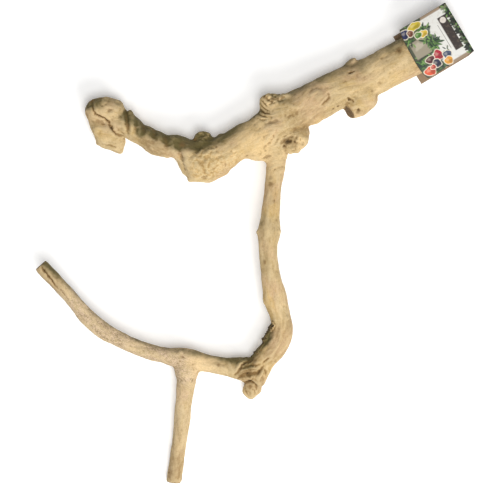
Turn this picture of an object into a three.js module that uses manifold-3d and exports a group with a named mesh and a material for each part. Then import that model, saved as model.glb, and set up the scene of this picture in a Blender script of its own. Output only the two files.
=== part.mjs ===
// A fallen, debarked hardwood branch lying on level ground, with the folded card that caps its butt.
// Millimetres, +Z up. The branch lies nearly in the XY plane: the main limb runs from a hooked head on
// the left to the sawn butt on the right, the drop branch leaves its middle towards -Y and ends in an
// elbow with a stub, the side arm leaves the elbow towards -X, and the peg leaves the arm towards -Y.
// It touches the ground under the main limb, under the head and at the peg's tip.
// Each fork is parted by a plane across the smaller limb, so that every limb is a solid of its own.
import * as THREE from "three";
import { ConvexGeometry } from "three/addons/geometries/ConvexGeometry.js";
import { mergeVertices } from "three/addons/utils/BufferGeometryUtils.js";
import Module from "manifold-3d";

const wasm = await Module();
wasm.setup();

// Clearance between two neighbouring solids.
const GAP = 0.3;
// Rings of faces from one station of a limb to the next.
const RINGS_PER_SPAN = 2;
// How far a limb's section departs from an ellipse, as a share of its radius.
const SECTION_WAVE = 0.03;
// A block larger than the branch, used as a half space.
const HALF_SPACE = 1200;

// Stations of the limbs: x, y and height of the pith, then the radius there.
const MAIN_LIMB = [
  [-158, 155, 27, 17],
  [-146, 150, 31, 15],
  [-136, 142, 33, 13],
  [-122, 135, 35, 13],
  [-112, 128, 36, 14.5],
  [-100, 124, 37, 14],
  [-89, 124, 37, 14.5],
  [-78, 118, 36, 17],
  [-66, 108, 33, 22],
  [-53, 108, 32, 23.5],
  [-37, 114, 32, 23],
  [-22, 123, 33, 20.5],
  [-7, 131, 33, 21],
  [8, 135, 33, 22.5],
  [27, 148, 33, 25],
  [53, 167, 32, 23.5],
  [85, 182, 29, 24],
  [113, 196, 26, 23],
  [143, 207, 24.6, 24],
  [165, 218, 25.5, 24],
  [183, 227, 27.5, 24.5],
  [246.2, 262.4, 28.5, 24],
];
const DROP_BRANCH = [
  [31, 128, 33, 16],
  [31, 110, 32, 13],
  [31, 99, 32, 11.5],
  [29, 83, 33, 10.5],
  [27, 69, 35, 10.5],
  [25, 53, 38, 11],
  [23, 35, 41, 12],
  [22, 21, 43, 14],
  [21, 7, 45, 11.5],
  [22, -10, 46, 10.5],
  [24, -27, 46, 11],
  [27, -46, 45, 12.5],
  [30, -60, 43, 13.5],
  [34, -74, 41, 12.5],
  [38, -89, 38, 12.5],
  [37, -102, 35, 14],
  [30, -116, 32, 14.5],
  [18, -128, 29, 14.5],
  [10, -142, 25, 14.5],
  [5, -158, 20, 11.5],
  [1, -174, 15, 8.5],
];
const SIDE_ARM = [
  [6, -144, 26, 12],
  [-5, -143, 27, 14.5],
  [-16, -142, 27, 13.5],
  [-31, -140, 27, 11],
  [-49, -137, 28, 10.5],
  [-68, -133, 28, 12.5],
  [-86, -130, 29, 12.5],
  [-104, -126, 30, 9.5],
  [-122, -121, 32, 9.5],
  [-144, -113, 35, 10],
  [-163, -103, 38, 10],
  [-180, -92, 41, 10],
  [-194, -79, 44, 9.5],
  [-207, -64, 47, 9],
  [-230, -38, 52, 9],
  [-248, -18, 56, 8.5],
];
const PEG = [
  [-77, -125, 28, 9],
  [-77, -135, 28, 15],
  [-76, -147, 27, 15.5],
  [-76, -155, 26, 12.5],
  [-77, -164, 25, 11.5],
  [-78, -173, 23.5, 10.5],
  [-81, -191, 20, 10],
  [-85, -227, 14.5, 9.5],
  [-90, -261, 10, 9.2],
  [-92.5, -281.5, 8.7, 8.7],
];

// Lobes of wood on the limbs. Each is the skin stretched over a few balls: x, y, z and radius.
const HEAD_UPPER = [
  [-182, 166, 30, 16],
  [-172, 168.5, 30, 15],
  [-164, 166, 30, 16],
  [-170, 157, 22, 19],
  [-154, 156, 28, 12],
];
const HEAD_FLAP = [
  [-184, 153, 29, 9.5],
  [-179, 146, 32, 11],
  [-166, 142, 30, 13],
  [-168, 146, 14, 14],
  [-175, 134, 11, 11],
  [-174, 135, 28, 10],
  [-160, 128, 22, 10],
  [-157, 121, 20, 5],
];
const MAIN_LOBES = {
  collar: [
    [-143, 160, 36, 7],
    [-140, 152, 38, 8],
    [-144, 150, 28, 12],
  ],
  knob: [
    [-64, 137, 36, 4],
    [-56, 138.5, 36, 5],
    [-49, 137, 35, 4],
    [-55, 124, 34, 14],
  ],
  lowBurl: [
    [-68, 97, 28, 12],
    [-65, 91, 33, 9.5],
    [-50, 92, 26, 11],
    [-34, 100, 28, 12],
    [-48, 104, 40, 14],
  ],
  brokenShoot: [
    [17, 179.5, 40, 5.5],
    [24, 182.5, 43, 4.5],
    [37, 181.5, 40, 5],
    [43, 177, 37, 5],
    [31, 164, 38, 16],
    [18, 168, 38, 7],
  ],
  eyeBurl: [
    [58, 132, 40, 12],
    [50, 127, 38, 11.5],
    [60, 141, 33, 11.5],
    [44, 132, 36, 12],
  ],
  thorn: [
    [124, 227, 31, 3.5],
    [123, 217, 28, 11],
  ],
  rootFlare: [
    [-8, 124, 32, 14],
    [8, 119, 32, 12.5],
    [26, 118, 32, 13],
    [18, 134, 34, 18],
  ],
};
const SAWN_SHOOT = [
  [141, 182, 27, 12.5],
  [131, 173, 27, 13],
  [119, 164, 31, 7.2],
  [136, 186, 30, 16],
];
const ELBOW_LOBES = {
  heel: [
    [8, -155, 24, 11.5],
    [11, -146, 20, 10.5],
    [-3, -154, 22, 8.5],
  ],
  stubEnd: [
    [-2.5, -169.5, 17, 7],
    [2, -173, 15, 7.5],
    [7, -168.5, 16, 7],
  ],
};

// Where a limb is parted from its parent or sawn off: a point on the plane and the way out of the wood.
const DROP_FORK = { at: [31, 104, 32], out: [0, -1, 0] };
const ARM_FORK = { at: [-20, -142, 27], out: [-0.99, 0.13, 0] };
const PEG_FORK = { at: [-76, -159, 25.5], out: [-0.1, -0.99, -0.1] };
const SHOOT_CUT = { at: [119, 164, 31], out: [-0.72, -0.6, 0.35] };

// The card: one sheet folded twice into a channel that caps the butt.
const CARD = {
  length: 65.5,
  width: 67,
  thickness: 0.8,
  foldRadius: 2,
  // How far the lower panel stands out of the mouth past the upper one.
  lip: 2,
  // The middle of its open mouth, and the way from the mouth to its spine.
  mouth: [193, 231.5],
  turn: THREE.MathUtils.degToRad(31),
  // Heights of the inner faces of the lower and the upper panel.
  innerLow: 3.6,
  innerHigh: 53.6,
};

const BARE_WOOD = { color: 0xdcc396, roughness: 0.85, metalness: 0 };
const PRINTED_CARD = { color: 0xc9c6bd, roughness: 0.6, metalness: 0 };

// A closed three.js geometry as a manifold solid.
function solidOf(geometry) {
  const bare = geometry.clone();
  bare.deleteAttribute("normal");
  bare.deleteAttribute("uv");
  const merged = mergeVertices(bare, 1e-4);
  return new wasm.Manifold(
    new wasm.Mesh({
      numProp: 3,
      vertProperties: new Float32Array(merged.attributes.position.array),
      triVerts: new Uint32Array(merged.index.array),
    }),
  );
}

// The geometry of a manifold solid, with a crease at every facet.
function geometryOf(solid) {
  const mesh = solid.getMesh();
  const geometry = new THREE.BufferGeometry();
  geometry.setAttribute("position", new THREE.BufferAttribute(mesh.vertProperties, 3));
  geometry.setIndex(new THREE.BufferAttribute(mesh.triVerts, 1));
  const faceted = geometry.toNonIndexed();
  faceted.computeVertexNormals();
  return faceted;
}

// A limb: a cylinder bent along the smooth curve through its stations, as thick as they say.
function limb(stations, sides) {
  const spans = stations.length - 1;
  const rings = spans * RINGS_PER_SPAN;
  const pith = new THREE.CatmullRomCurve3(stations.map(([x, y, z]) => new THREE.Vector3(x, y, z)));
  const girth = new THREE.CatmullRomCurve3(stations.map((s, i) => new THREE.Vector3(i, s[3], 0)));
  const geometry = new THREE.CylinderGeometry(1, 1, rings, sides, rings);
  const position = geometry.attributes.position;
  const up = new THREE.Vector3(0, 0, 1);
  const vertex = new THREE.Vector3();
  for (let i = 0; i < position.count; i++) {
    vertex.fromBufferAttribute(position, i);
    const t = 0.5 - vertex.y / rings;
    const tangent = pith.getTangent(t);
    const side = up.clone().cross(tangent).normalize();
    const top = tangent.clone().cross(side);
    const angle = Math.atan2(vertex.z, vertex.x);
    const wave = 1 + SECTION_WAVE * Math.cos(3 * angle + spans * t);
    const radius = girth.getPoint(t).y * wave;
    const place = pith
      .getPoint(t)
      .addScaledVector(side, vertex.x * radius)
      .addScaledVector(top, vertex.z * radius);
    position.setXYZ(i, place.x, place.y, place.z);
  }
  return solidOf(geometry);
}

// A lobe of wood: the convex skin over its balls.
function lobe(balls) {
  const points = [];
  for (const [x, y, z, radius] of balls) {
    const ball = new THREE.IcosahedronGeometry(radius, 2).translate(x, y, z);
    ball.deleteAttribute("normal");
    ball.deleteAttribute("uv");
    const corners = mergeVertices(ball, 1e-3).attributes.position;
    for (let i = 0; i < corners.count; i++) {
      points.push(new THREE.Vector3().fromBufferAttribute(corners, i));
    }
  }
  return solidOf(new ConvexGeometry(points));
}

// The half space beyond a plane, as a block whose near face lies `clearance` past the plane.
function beyond({ at, out }, clearance = 0) {
  const direction = new THREE.Vector3(...out).normalize();
  const block = new THREE.BoxGeometry(HALF_SPACE, HALF_SPACE, HALF_SPACE);
  const turn = new THREE.Quaternion().setFromUnitVectors(new THREE.Vector3(0, 0, 1), direction);
  const centre = new THREE.Vector3(...at).addScaledVector(direction, HALF_SPACE / 2 + clearance);
  block.applyQuaternion(turn).translate(centre.x, centre.y, centre.z);
  return solidOf(block);
}

// The wood on the near side of a fork or cut, and the wood on its far side, half a gap from the plane.
const within = (wood, plane) => wood.subtract(beyond(plane, -GAP / 2));
const past = (wood, plane) => wood.intersect(beyond(plane, GAP / 2));

const joined = (...solids) => solids.reduce((all, solid) => all.add(solid));
const lobes = (named) => Object.values(named).map(lobe);

const dropTube = limb(DROP_BRANCH, 16);
const armTube = limb(SIDE_ARM, 14);
const pegTube = limb(PEG, 14);

function mainLimb() {
  const head = joined(lobe(HEAD_UPPER), lobe(HEAD_FLAP));
  const shoot = within(lobe(SAWN_SHOOT), SHOOT_CUT);
  const root = within(dropTube, DROP_FORK);
  return joined(limb(MAIN_LIMB, 20), head, ...lobes(MAIN_LOBES), shoot, root);
}

function dropBranch() {
  const elbow = joined(dropTube, ...lobes(ELBOW_LOBES), within(armTube, ARM_FORK));
  return past(elbow, DROP_FORK);
}

function sideArm() {
  return joined(past(armTube, ARM_FORK), within(pegTube, PEG_FORK));
}

function peg() {
  return past(pegTube, PEG_FORK);
}

// The card's outline along the limb and upwards, from its mouth at x = 0 to its spine, swept across.
function foldedCard() {
  const { length, width, thickness, foldRadius, lip, innerLow, innerHigh } = CARD;
  const outer = foldRadius + thickness;
  const low = innerLow - thickness;
  const high = innerHigh + thickness;
  const outline = new THREE.Shape();
  outline.moveTo(-lip, low);
  outline.lineTo(length - outer, low);
  outline.absarc(length - outer, low + outer, outer, -Math.PI / 2, 0, false);
  outline.absarc(length - outer, high - outer, outer, 0, Math.PI / 2, false);
  outline.lineTo(0, high);
  outline.lineTo(0, innerHigh);
  outline.absarc(length - outer, high - outer, foldRadius, Math.PI / 2, 0, true);
  outline.absarc(length - outer, low + outer, foldRadius, 0, -Math.PI / 2, true);
  outline.lineTo(-lip, innerLow);
  outline.closePath();
  const sheet = new THREE.ExtrudeGeometry(outline, { depth: width, bevelEnabled: false, curveSegments: 4 });
  return sheet.rotateX(Math.PI / 2).translate(0, width / 2, 0);
}

function piece(name, geometry, finish) {
  const mesh = new THREE.Mesh(geometry, new THREE.MeshStandardMaterial(finish));
  mesh.name = name;
  return mesh;
}

const wood = new THREE.Group();
wood.add(
  piece("main_limb", geometryOf(mainLimb()), BARE_WOOD),
  piece("drop_branch", geometryOf(dropBranch()), BARE_WOOD),
  piece("side_arm", geometryOf(sideArm()), BARE_WOOD),
  piece("peg_shoot", geometryOf(peg()), BARE_WOOD),
);

const card = piece("card_tag", foldedCard(), PRINTED_CARD);
card.position.set(CARD.mouth[0], CARD.mouth[1], 0);
card.rotation.z = CARD.turn;

const branch = new THREE.Group();
branch.add(wood, card);

// The origin is on the ground, under the middle of everything.
const extent = new THREE.Box3().setFromObject(branch, true);
const middle = extent.getCenter(new THREE.Vector3());
branch.position.set(-middle.x, -middle.y, -extent.min.z);

const placed = new THREE.Group();
placed.add(branch);

export default placed;
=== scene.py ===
import itertools
import math

import bmesh
import bpy
import numpy as np
from bpy.props import FloatProperty, FloatVectorProperty, PointerProperty
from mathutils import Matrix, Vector
from mathutils.bvhtree import BVHTree
from mathutils.kdtree import KDTree


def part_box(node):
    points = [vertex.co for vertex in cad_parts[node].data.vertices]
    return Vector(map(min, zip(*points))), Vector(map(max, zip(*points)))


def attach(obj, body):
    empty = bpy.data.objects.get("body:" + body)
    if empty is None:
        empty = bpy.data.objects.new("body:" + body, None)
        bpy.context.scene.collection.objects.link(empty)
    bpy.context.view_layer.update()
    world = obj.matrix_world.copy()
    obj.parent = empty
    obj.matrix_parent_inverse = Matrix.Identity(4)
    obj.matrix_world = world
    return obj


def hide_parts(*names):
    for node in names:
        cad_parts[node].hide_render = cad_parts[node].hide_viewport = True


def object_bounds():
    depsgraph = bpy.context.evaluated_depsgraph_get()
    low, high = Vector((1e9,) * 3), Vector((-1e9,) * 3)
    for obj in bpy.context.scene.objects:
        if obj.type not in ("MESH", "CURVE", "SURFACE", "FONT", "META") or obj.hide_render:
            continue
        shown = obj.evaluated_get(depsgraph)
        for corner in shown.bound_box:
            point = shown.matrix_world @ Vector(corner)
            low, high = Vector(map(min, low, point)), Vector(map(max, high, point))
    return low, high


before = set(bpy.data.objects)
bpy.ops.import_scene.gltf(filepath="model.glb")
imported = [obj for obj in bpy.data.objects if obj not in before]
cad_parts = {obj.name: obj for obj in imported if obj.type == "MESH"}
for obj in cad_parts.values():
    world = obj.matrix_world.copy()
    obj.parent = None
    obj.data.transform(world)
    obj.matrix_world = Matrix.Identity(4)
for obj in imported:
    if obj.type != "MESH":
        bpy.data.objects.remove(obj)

bl_info = {
    "name": "Fallen Branch",
    "version": (1, 0, 0),
    "blender": (4, 5, 0),
    "location": "3D View > Sidebar > Branch",
    "description": "Carves a debarked branch and folds the card over its butt",
    "category": "Object",
}

CAD_BOX = [list(corner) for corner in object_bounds()]
BOXES = {node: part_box(node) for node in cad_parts}
MM = 0.001

# The limbs, each with the box axis that it runs along and the way it runs.
LIMBS = {"main_limb": (0, 1), "drop_branch": (1, -1), "side_arm": (0, -1), "peg_shoot": (1, -1)}
# Each fork: the limb that carries, then the limb that leaves it.
FORKS = (("main_limb", "drop_branch"), ("drop_branch", "side_arm"), ("side_arm", "peg_shoot"))

# Everything below is listed by limb. A place on a limb is its x and y in thousandths of the limb's box,
# seen from above, and sizes are in millimetres.
# Valleys: half width, depth, how dark the painted shade in the bottom is, and the places they pass.
FURROWS = (
    ("main_limb", (
        # The head's mouth and back, its flap and the collar.
        (1.15, 4, 1, (
            (18, 473), (23, 418), (28, 397), (51, 373), (65, 348), (74, 313), (82, 287), (94, 274),
            (101, 272),
        )),
        (2, 2.6, 0.45, ((107, 430), (110, 377), (112, 335), (112, 280))),
        (1.1, 1, 0.15, ((31, 250), (47, 222), (68, 214), (88, 198))),
        (2.2, 1.4, 0.1, ((136, 400), (137, 341), (136, 290))),
        # The waists of the neck and the fold at the burl.
        (3.2, 1.9, 0.35, ((158, 350), (156, 310), (158, 285))),
        (3.6, 1.9, 0.3, ((184, 325), (183, 280), (186, 250))),
        (4, 2.2, 0.3, ((214, 280), (214, 235), (220, 190))),
        (3.4, 3.4, 0.05, ((240, 235), (246, 191), (250, 151), (254, 110), (261, 75))),
        # Wrinkles and a crack on the broken shoot.
        (1, 1.7, 0.8, ((461, 487), (469, 462), (479, 442))),
        (0.9, 1.6, 0.75, ((459, 463), (469, 432), (483, 415))),
        (1, 1.7, 0.8, ((457, 436), (470, 408), (488, 399))),
        (0.9, 1.5, 0.6, ((453, 405), (468, 386), (488, 384))),
        (0.9, 0.8, 0.2, ((444, 380), (462, 368), (480, 369))),
        (1.1, 1.3, 0.5, ((481, 457), (491, 463), (501, 453))),
        (1, 2.2, 0.8, ((474, 500), (484, 478), (500, 464))),
        # The valley beside the shoot.
        (7, 2.6, 0, ((445, 340), (486, 360), (525, 376), (575, 402))),
        # The oval knot, a slit, an eye, the root and a streak.
        (1.5, 2.4, 0.5, ((639, 517), (642, 492), (632, 468), (621, 451))),
        (0.9, 2.4, 1, ((690, 493), (697, 487), (703, 476))),
        (1.5, 1, 0.15, ((513, 200), (520, 234), (530, 257), (546, 269), (561, 259), (574, 230))),
        (1.6, 1, 0, ((466, 137), (476, 147), (488, 154))),
        (1.2, 1.5, 0.9, ((688, 645), (697, 649), (706, 655))),
    )),
    ("drop_branch", (
        # Folds at the elbow.
        (1.3, 2, 0.9, ((45, 108), (121, 128), (185, 156), (279, 171), (345, 184))),
        (1.7, 3, 0.85, ((110, 98), (223, 112), (317, 111), (399, 114), (475, 130), (530, 148))),
        (1.2, 1.6, 0.6, ((150, 138), (244, 148), (326, 153), (399, 149), (470, 153))),
        (1.2, 1.3, 0.6, ((490, 154), (563, 171), (618, 181))),
        (1.5, 3.6, 1, ((165, 62), (222, 73), (275, 79), (345, 74), (395, 58), (410, 45))),
        (1.2, 1.8, 0.7, ((70, 86), (130, 98), (197, 104))),
        (1, 1.3, 0.6, ((110, 116), (193, 123), (295, 131), (410, 129))),
        (1.2, 1.5, 0.5, ((501, 141), (542, 133), (564, 107))),
        (1, 1.3, 0.8, ((229, 152), (279, 163), (345, 176))),
        (1, 1, 0.4, ((328, 49), (378, 38), (386, 20))),
        (1, 0.9, 0.4, ((204, 45), (229, 29), (270, 15))),
    )),
    ("side_arm", (
        # Cracks at the sawn end.
        (0.8, 2.6, 1, ((36, 957), (48, 922), (58, 895), (77, 863), (87, 827), (110, 775))),
        (0.8, 1.2, 0.5, ((128, 768), (150, 715), (169, 675))),
    )),
)

# Raised strokes: half width, height, and the places they pass.
RIDGES = (
    ("main_limb", (
        # The collar, the flap, the root, the shoot and the oval knot's rim.
        (2.4, 2.2, ((120, 425), (125, 389), (124, 347), (123, 300))),
        (1.6, 1.3, ((30, 232), (50, 209), (70, 200), (90, 184))),
        (2.6, 2, ((497, 313), (488, 278), (481, 252), (473, 221))),
        (2.4, 1.6, ((509, 290), (501, 256), (494, 228), (483, 199))),
        (3, 1.6, ((492, 470), (520, 458), (550, 440))),
        (3.2, 1.5, ((585, 484), (593, 514), (608, 532), (626, 530))),
    )),
    ("drop_branch", (
        # Between the folds at the elbow.
        (2, 1.2, ((140, 175), (98, 143), (60, 128))),
        (1.8, 1, ((180, 131), (295, 133), (410, 131))),
        (2.2, 1.8, ((150, 92), (275, 98), (385, 96))),
        (2.6, 1.4, ((505, 125), (450, 98), (420, 66))),
    )),
)

# Scraps of bark left in the inner bend: half width, height, and the places they pass.
BARK = (
    ("drop_branch", (
        (2.7, 3.8, ((676, 322), (657, 309), (626, 297))),
        (2.9, 4.2, ((606, 284), (576, 271), (540, 259))),
        (1.6, 1.6, ((526, 251), (501, 237), (460, 220))),
        (1.6, 1.3, ((430, 211), (380, 202), (361, 203))),
        (1.4, 1.1, ((300, 192), (255, 188), (229, 189))),
    )),
)

# Swellings (positive) and dimples (negative): place, half width and height.
SWELLINGS = (
    ("main_limb", (
        (15, 471, 2.6, 1.6), (22, 490, 2, 1.2), (8, 426, 2.4, 1.4), (5, 385, 2.2, -1.2),
        (56, 500, 3.2, 1), (28, 236, 2.6, 1.6), (92, 178, 2.6, 1.6), (66, 423, 3.2, -1),
        (49, 349, 3, -0.8), (41, 289, 4, -1), (144, 350, 4.4, 1), (168, 290, 4.4, 1.4),
        (196, 272, 5.4, 1), (235, 250, 5.6, 1), (292, 266, 1.6, 1.3), (300, 292, 1.8, 1.4),
        (321, 286, 1.8, 1.3), (332, 268, 1.8, 0.9), (308, 270, 1.5, -1.6), (289, 250, 2, -1.6),
        (276, 12, 3.4, 3), (312, 16, 5, -1.8), (326, 26, 3.4, 1.6), (381, 80, 3.6, 1.6),
        (291, 87, 4.2, 1.6), (349, 161, 3.6, 1.2), (379, 139, 3.6, 1.4), (330, 116, 3, 1),
        (361, 109, 2.8, -1.2), (337, 72, 3, -1.2), (479, 517, 1.7, 1.6), (491, 512, 1.3, -1.5),
        (502, 516, 1.6, 1.4), (511, 512, 1.2, -1.4), (522, 512, 1.7, 1.3), (614, 500, 6.5, 3.2),
        (514, 497, 4, 3), (524, 503, 4.2, 3.4), (535, 510, 4, 2.4),
    )),
    ("drop_branch", (
        (918, 350, 3, 1.2), (969, 278, 3.4, 1), (510, 415, 3, 1.2), (868, 413, 2.4, 1),
    )),
    ("main_limb", (
        (118, 425, 3.4, 1.8), (246, 30, 5, 2.4), (584, 300, 3, 1.4), (584, 249, 3, 1.2),
        (558, 176, 3.4, 2.4), (538, 172, 2.8, 2.2), (708, 733, 1.7, 2.2), (704, 722, 2, 1),
        (790, 624, 5, 1.1), (773, 581, 3, -0.8), (855, 659, 7, 0.8), (355, 280, 4.2, 2.2),
        (218, 140, 4.6, 1.8), (610, 345, 7, 1.6),
    )),
    ("drop_branch", (
        (408, 712, 2.6, 2), (784, 711, 2.6, 1.8), (508, 433, 2.2, 1.1), (624, 930, 2.6, 1),
        (312, 38, 4.2, 1.4), (245, 50, 2.2, 0.8), (395, 45, 2.2, 0.7),
    )),
    ("side_arm", (
        (724, 262, 2.6, 1.4), (740, 225, 2.2, -1), (572, 254, 2.6, 0.8), (402, 352, 2.6, 0.8),
        (917, 170, 2.6, 0.9), (200, 620, 4, 0.8),
    )),
)

# Soft dark marks, stains and painted shade in creases and dimples: place, radius and strength.
SMUDGES = (
    ("main_limb", (
        (18, 480, 4, 0.7), (5, 400, 3.5, 0.6), (45, 500, 4, 0.4), (66, 423, 2.6, 0.35),
        (155, 330, 4, 0.5), (183, 305, 3.6, 0.5), (214, 255, 4, 0.5), (256, 220, 5, 0.6),
        (289, 250, 3, 0.8), (345, 205, 1.6, 0.9), (321, 33, 1.4, 0.8), (300, 140, 3, 0.35),
        (317, 110, 3, 0.35), (472, 506, 2.6, 1.2), (494, 490, 2.6, 1), (505, 490, 2.2, 0.9),
        (518, 497, 2.2, 0.8), (592, 492, 1.8, 0.5), (548, 228, 8, 0.5), (533, 240, 4.6, 1.3),
        (525, 205, 3.6, 0.6), (572, 215, 3.6, 0.5), (665, 445, 1.6, 1.3), (694, 489, 1.6, 1.5),
        (652, 432, 1.4, 1.2), (716, 420, 3.4, 0.9), (697, 650, 2, 0.7), (778, 732, 1.8, 0.6),
        (790, 716, 1.8, 0.5), (821, 773, 4.5, 0.95), (773, 581, 2, 0.35),
    )),
    ("drop_branch", (
        (624, 911, 3, 0.8), (637, 937, 3, 0.45), (527, 582, 2.8, 0.7), (415, 725, 3, 0.5),
        (738, 760, 1.6, 0.4), (491, 647, 1.6, 0.3), (358, 182, 2, 0.8), (409, 200, 1.8, 0.75),
        (470, 213, 1.8, 0.7), (295, 169, 2.4, 0.5), (89, 170, 2.2, 0.5), (270, 116, 7, 0.85),
        (170, 108, 6, 0.8), (350, 165, 6, 0.5), (300, 60, 5, 0.5),
    )),
    ("side_arm", (
        (735, 225, 2.4, 0.5), (917, 162, 2.6, 0.7), (572, 254, 2.2, 0.5), (402, 352, 2.2, 0.4),
    )),
    ("peg_shoot", (
        (85, 113, 1.4, 1), (323, 294, 1.8, 0.3),
    )),
)

# Knots with an open eye: place, radius, rise, and how deep the eye is.
KNOTS = (
    ("main_limb", (
        (536, 240, 4.6, 0.4, 2.4), (550, 232, 2.6, 0.2, 1.4), (523, 208, 2.4, 0.2, 1.4),
        (718, 424, 3, 0.6, 1.2),
    )),
)

# Crumpled stretches: place, reach, relief, size of the lumps, and how crusty.
CRUMPLES = (
    ("main_limb", (
        (55, 400, 24, 1.1, 12, 0), (62, 215, 12, 0.8, 6, 0), (10, 455, 9, 2.4, 6, 0),
        (310, 268, 11, 3.4, 5.5, 0.5), (325, 80, 30, 3.2, 10, 0.75), (395, 130, 16, 2.6, 7, 0.8),
        (490, 510, 10, 2.8, 6, 0.2), (520, 510, 9, 2.6, 5, 0.2), (550, 222, 14, 3, 4.5, 0.2),
        (718, 420, 8, 1.6, 4.5, 0),
    )),
    ("drop_branch", (
        (290, 110, 20, 1.6, 6, 0), (300, 30, 9, 1.2, 5, 0),
    )),
)

# Where the side turned from the key light is darkened further to a dull greenish brown, weathering and
# painted shade: place, reach and strength.
WEATHERED_AND_SHADED = (
    ("main_limb", (
        (10, 450, 16, 0.7), (130, 370, 16, 1.1), (180, 310, 24, 1.35), (148, 290, 11, 1.5),
        (240, 240, 22, 1.3), (300, 240, 22, 0.9), (370, 300, 26, 0.6), (450, 400, 14, 0.25),
        (600, 590, 34, 0.3), (720, 710, 30, 0.15), (830, 840, 26, 0.3),
    )),
    ("drop_branch", (
        (430, 750, 30, 0.3), (200, 190, 30, 0.8), (240, 125, 12, 1.1), (520, 240, 26, 0.6),
    )),
    ("side_arm", (
        (50, 930, 26, 0.75), (900, 230, 30, 0.25),
    )),
)

# Broad tones: place, reach, and how much paler (positive) or duller (negative).
TONES = (
    ("main_limb", (
        (434, 273, 32, 0.65), (564, 345, 22, -0.7), (643, 424, 16, -0.3), (773, 629, 30, 0.5),
        (612, 500, 8, -0.6), (317, 97, 22, -0.2), (195, 240, 24, -1.1), (488, 470, 10, 1.5),
        (570, 235, 9, 1.2),
    )),
    ("drop_branch", (
        (657, 991, 24, 0.6), (868, 300, 22, -0.5), (706, 194, 18, -0.4), (328, 95, 20, -1.15),
        (312, 43, 12, -0.4),
    )),
    ("side_arm", (
        (825, 196, 26, 0.8), (53, 922, 30, -1.4),
    )),
    ("peg_shoot", ((260, 137, 36, -0.9),)),
    ("drop_branch", ((230, 100, 9, -0.9),)),
    ("main_limb", ((50, 420, 20, 0.5),)),
)

# The main limb's crest leans down to its far side: share along its box, half length as a share, and depth.
KEELS = ((0.190, 0.075, 2.2), (0.340, 0.080, 1.4))

# Sawn faces: limb, place, and the way the face looks.
SAWN = (
    ("main_limb", (700, 430), (-0.72, -0.6, 0.35)),
    ("main_limb", (985, 930), (0.87, 0.49, 0.0)),
    ("side_arm", (30, 945), (-0.65, 0.73, 0.2)),
    ("peg_shoot", (300, 10), (-0.12, -0.99, 0.0)),
)


def linear(*rgb):
    """A colour given as 0 to 255 display values, as scene values."""
    share = np.array(rgb, float) / 255
    return tuple(np.where(share < 0.04045, share / 12.92, ((share + 0.055) / 1.055) ** 2.4))


def smooth_step(low, high, value):
    share = np.clip((value - low) / (high - low), 0, 1)
    return share * share * (3 - 2 * share)


def bell(reach):
    """1 in the middle, falling softly away."""
    return np.exp(-(reach**2))


class Noise:
    """Smooth seeded noise, from about -1 to 1."""

    def __init__(self, seed):
        draw = np.random.default_rng(seed)
        self.order = draw.permutation(256)
        slopes = draw.normal(size=(256, 3))
        self.slopes = slopes / np.linalg.norm(slopes, axis=1)[:, None]

    def __call__(self, points):
        cell = np.floor(points).astype(int)
        inside = points - cell
        fade = inside**3 * (inside * (inside * 6 - 15) + 10)
        total = np.zeros(len(points))
        for corner in itertools.product((0, 1), repeat=3):
            key = (cell + corner) & 255
            pick = self.order[key[:, 0]]
            pick = self.order[(pick + key[:, 1]) & 255]
            pick = self.order[(pick + key[:, 2]) & 255]
            push = np.einsum("ij,ij->i", self.slopes[pick], inside - corner)
            total += np.prod(np.where(corner, fade, 1 - fade), axis=1) * push
        return total * 1.6


def read(items, key, width, kind=float):
    """One property of many of Blender's items, as an array of rows."""
    values = np.empty(len(items) * width, kind)
    items.foreach_get(key, values)
    return values.reshape(-1, width)


def cad_arrays(node):
    """The corners and triangles of a CAD node."""
    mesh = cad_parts[node].data
    mesh.calc_loop_triangles()
    return read(mesh.vertices, "co", 3), read(mesh.loop_triangles, "vertices", 3, int)


def box_place(node, spot):
    """The level place at these thousandths of a node's box."""
    low, high = BOXES[node]
    return np.array([low[i] + spot[i] / 1000 * (high[i] - low[i]) for i in (0, 1)])


def mesh_from(name, place, faces):
    mesh = bpy.data.meshes.new(name)
    mesh.from_pydata(place.tolist(), [], faces.tolist())
    mesh.update()
    return mesh


def add_object(name, mesh):
    piece = bpy.data.objects.new(name, mesh)
    bpy.context.scene.collection.objects.link(piece)
    return piece


def smoothed_line(line, rounds):
    for _ in range(rounds):
        inner = (line[:-2] + 2 * line[1:-1] + line[2:]) / 4
        line = np.concatenate([line[:1], inner, line[-1:]])
    return line


def run_along(points):
    """How far along a row of points each one is."""
    return np.concatenate([[0], np.cumsum(np.linalg.norm(np.diff(points, axis=0), axis=1))])


def evenly(points, step):
    """How far along and where the even steps of a row of points are."""
    run = run_along(points)
    along = np.linspace(0, run[-1], max(3, int(run[-1] / step)))
    return along, np.stack([np.interp(along, run, points[:, i]) for i in (0, 1)], axis=1)


def lay_on(mesh, name, values, kind="FLOAT", key="value"):
    """Lays values on a mesh's corners, for its finish to read."""
    mesh.attributes.new(name, kind, "POINT").data.foreach_set(key, np.ravel(values))


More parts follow.
